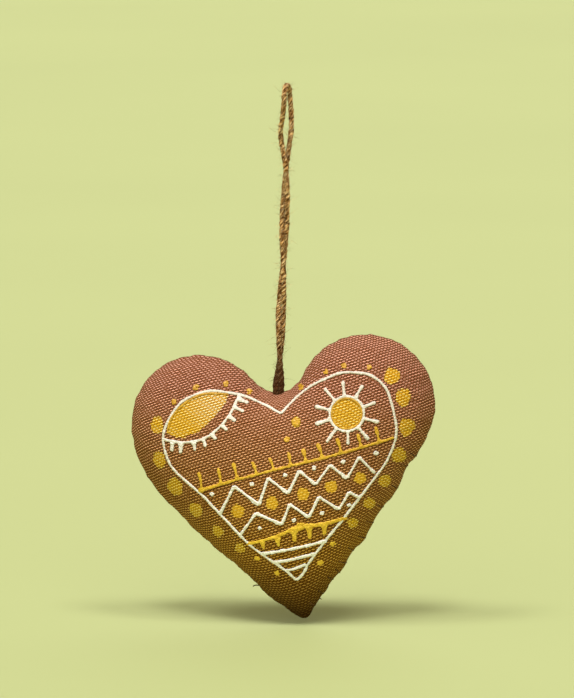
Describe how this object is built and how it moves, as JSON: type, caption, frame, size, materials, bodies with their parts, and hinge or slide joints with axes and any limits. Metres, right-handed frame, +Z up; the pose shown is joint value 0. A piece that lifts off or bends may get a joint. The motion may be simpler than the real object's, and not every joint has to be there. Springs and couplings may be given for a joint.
{
  "type": "fabric heart ornament",
  "caption": "Stuffed fabric heart with painted lines and dots on its front, hung from a loop of twisted jute twine.",
  "frame": {"origin": "inside of the top of the twine loop, where a hook or peg carries the ornament", "axes": "+Z up as it hangs; the painted front faces -Y; +X to the right as seen from the front; the seam lies in the plane Y = 0"},
  "size_m": [0.1118, 0.04, 0.1953],
  "materials": {
    "brown_linen": "matte plain-woven brown linen",
    "jute_twine": "matte hairy two-ply jute",
    "white_paint": "raised satin white fabric paint",
    "gold_paint": "raised satin yellow-gold fabric paint",
    "sewing_thread": "matte dark brown sewing thread"
  },
  "bodies": {
    "root": {"heart": "brown_linen", "hanging_twine": "jute_twine"}
  },
  "joints": []
}
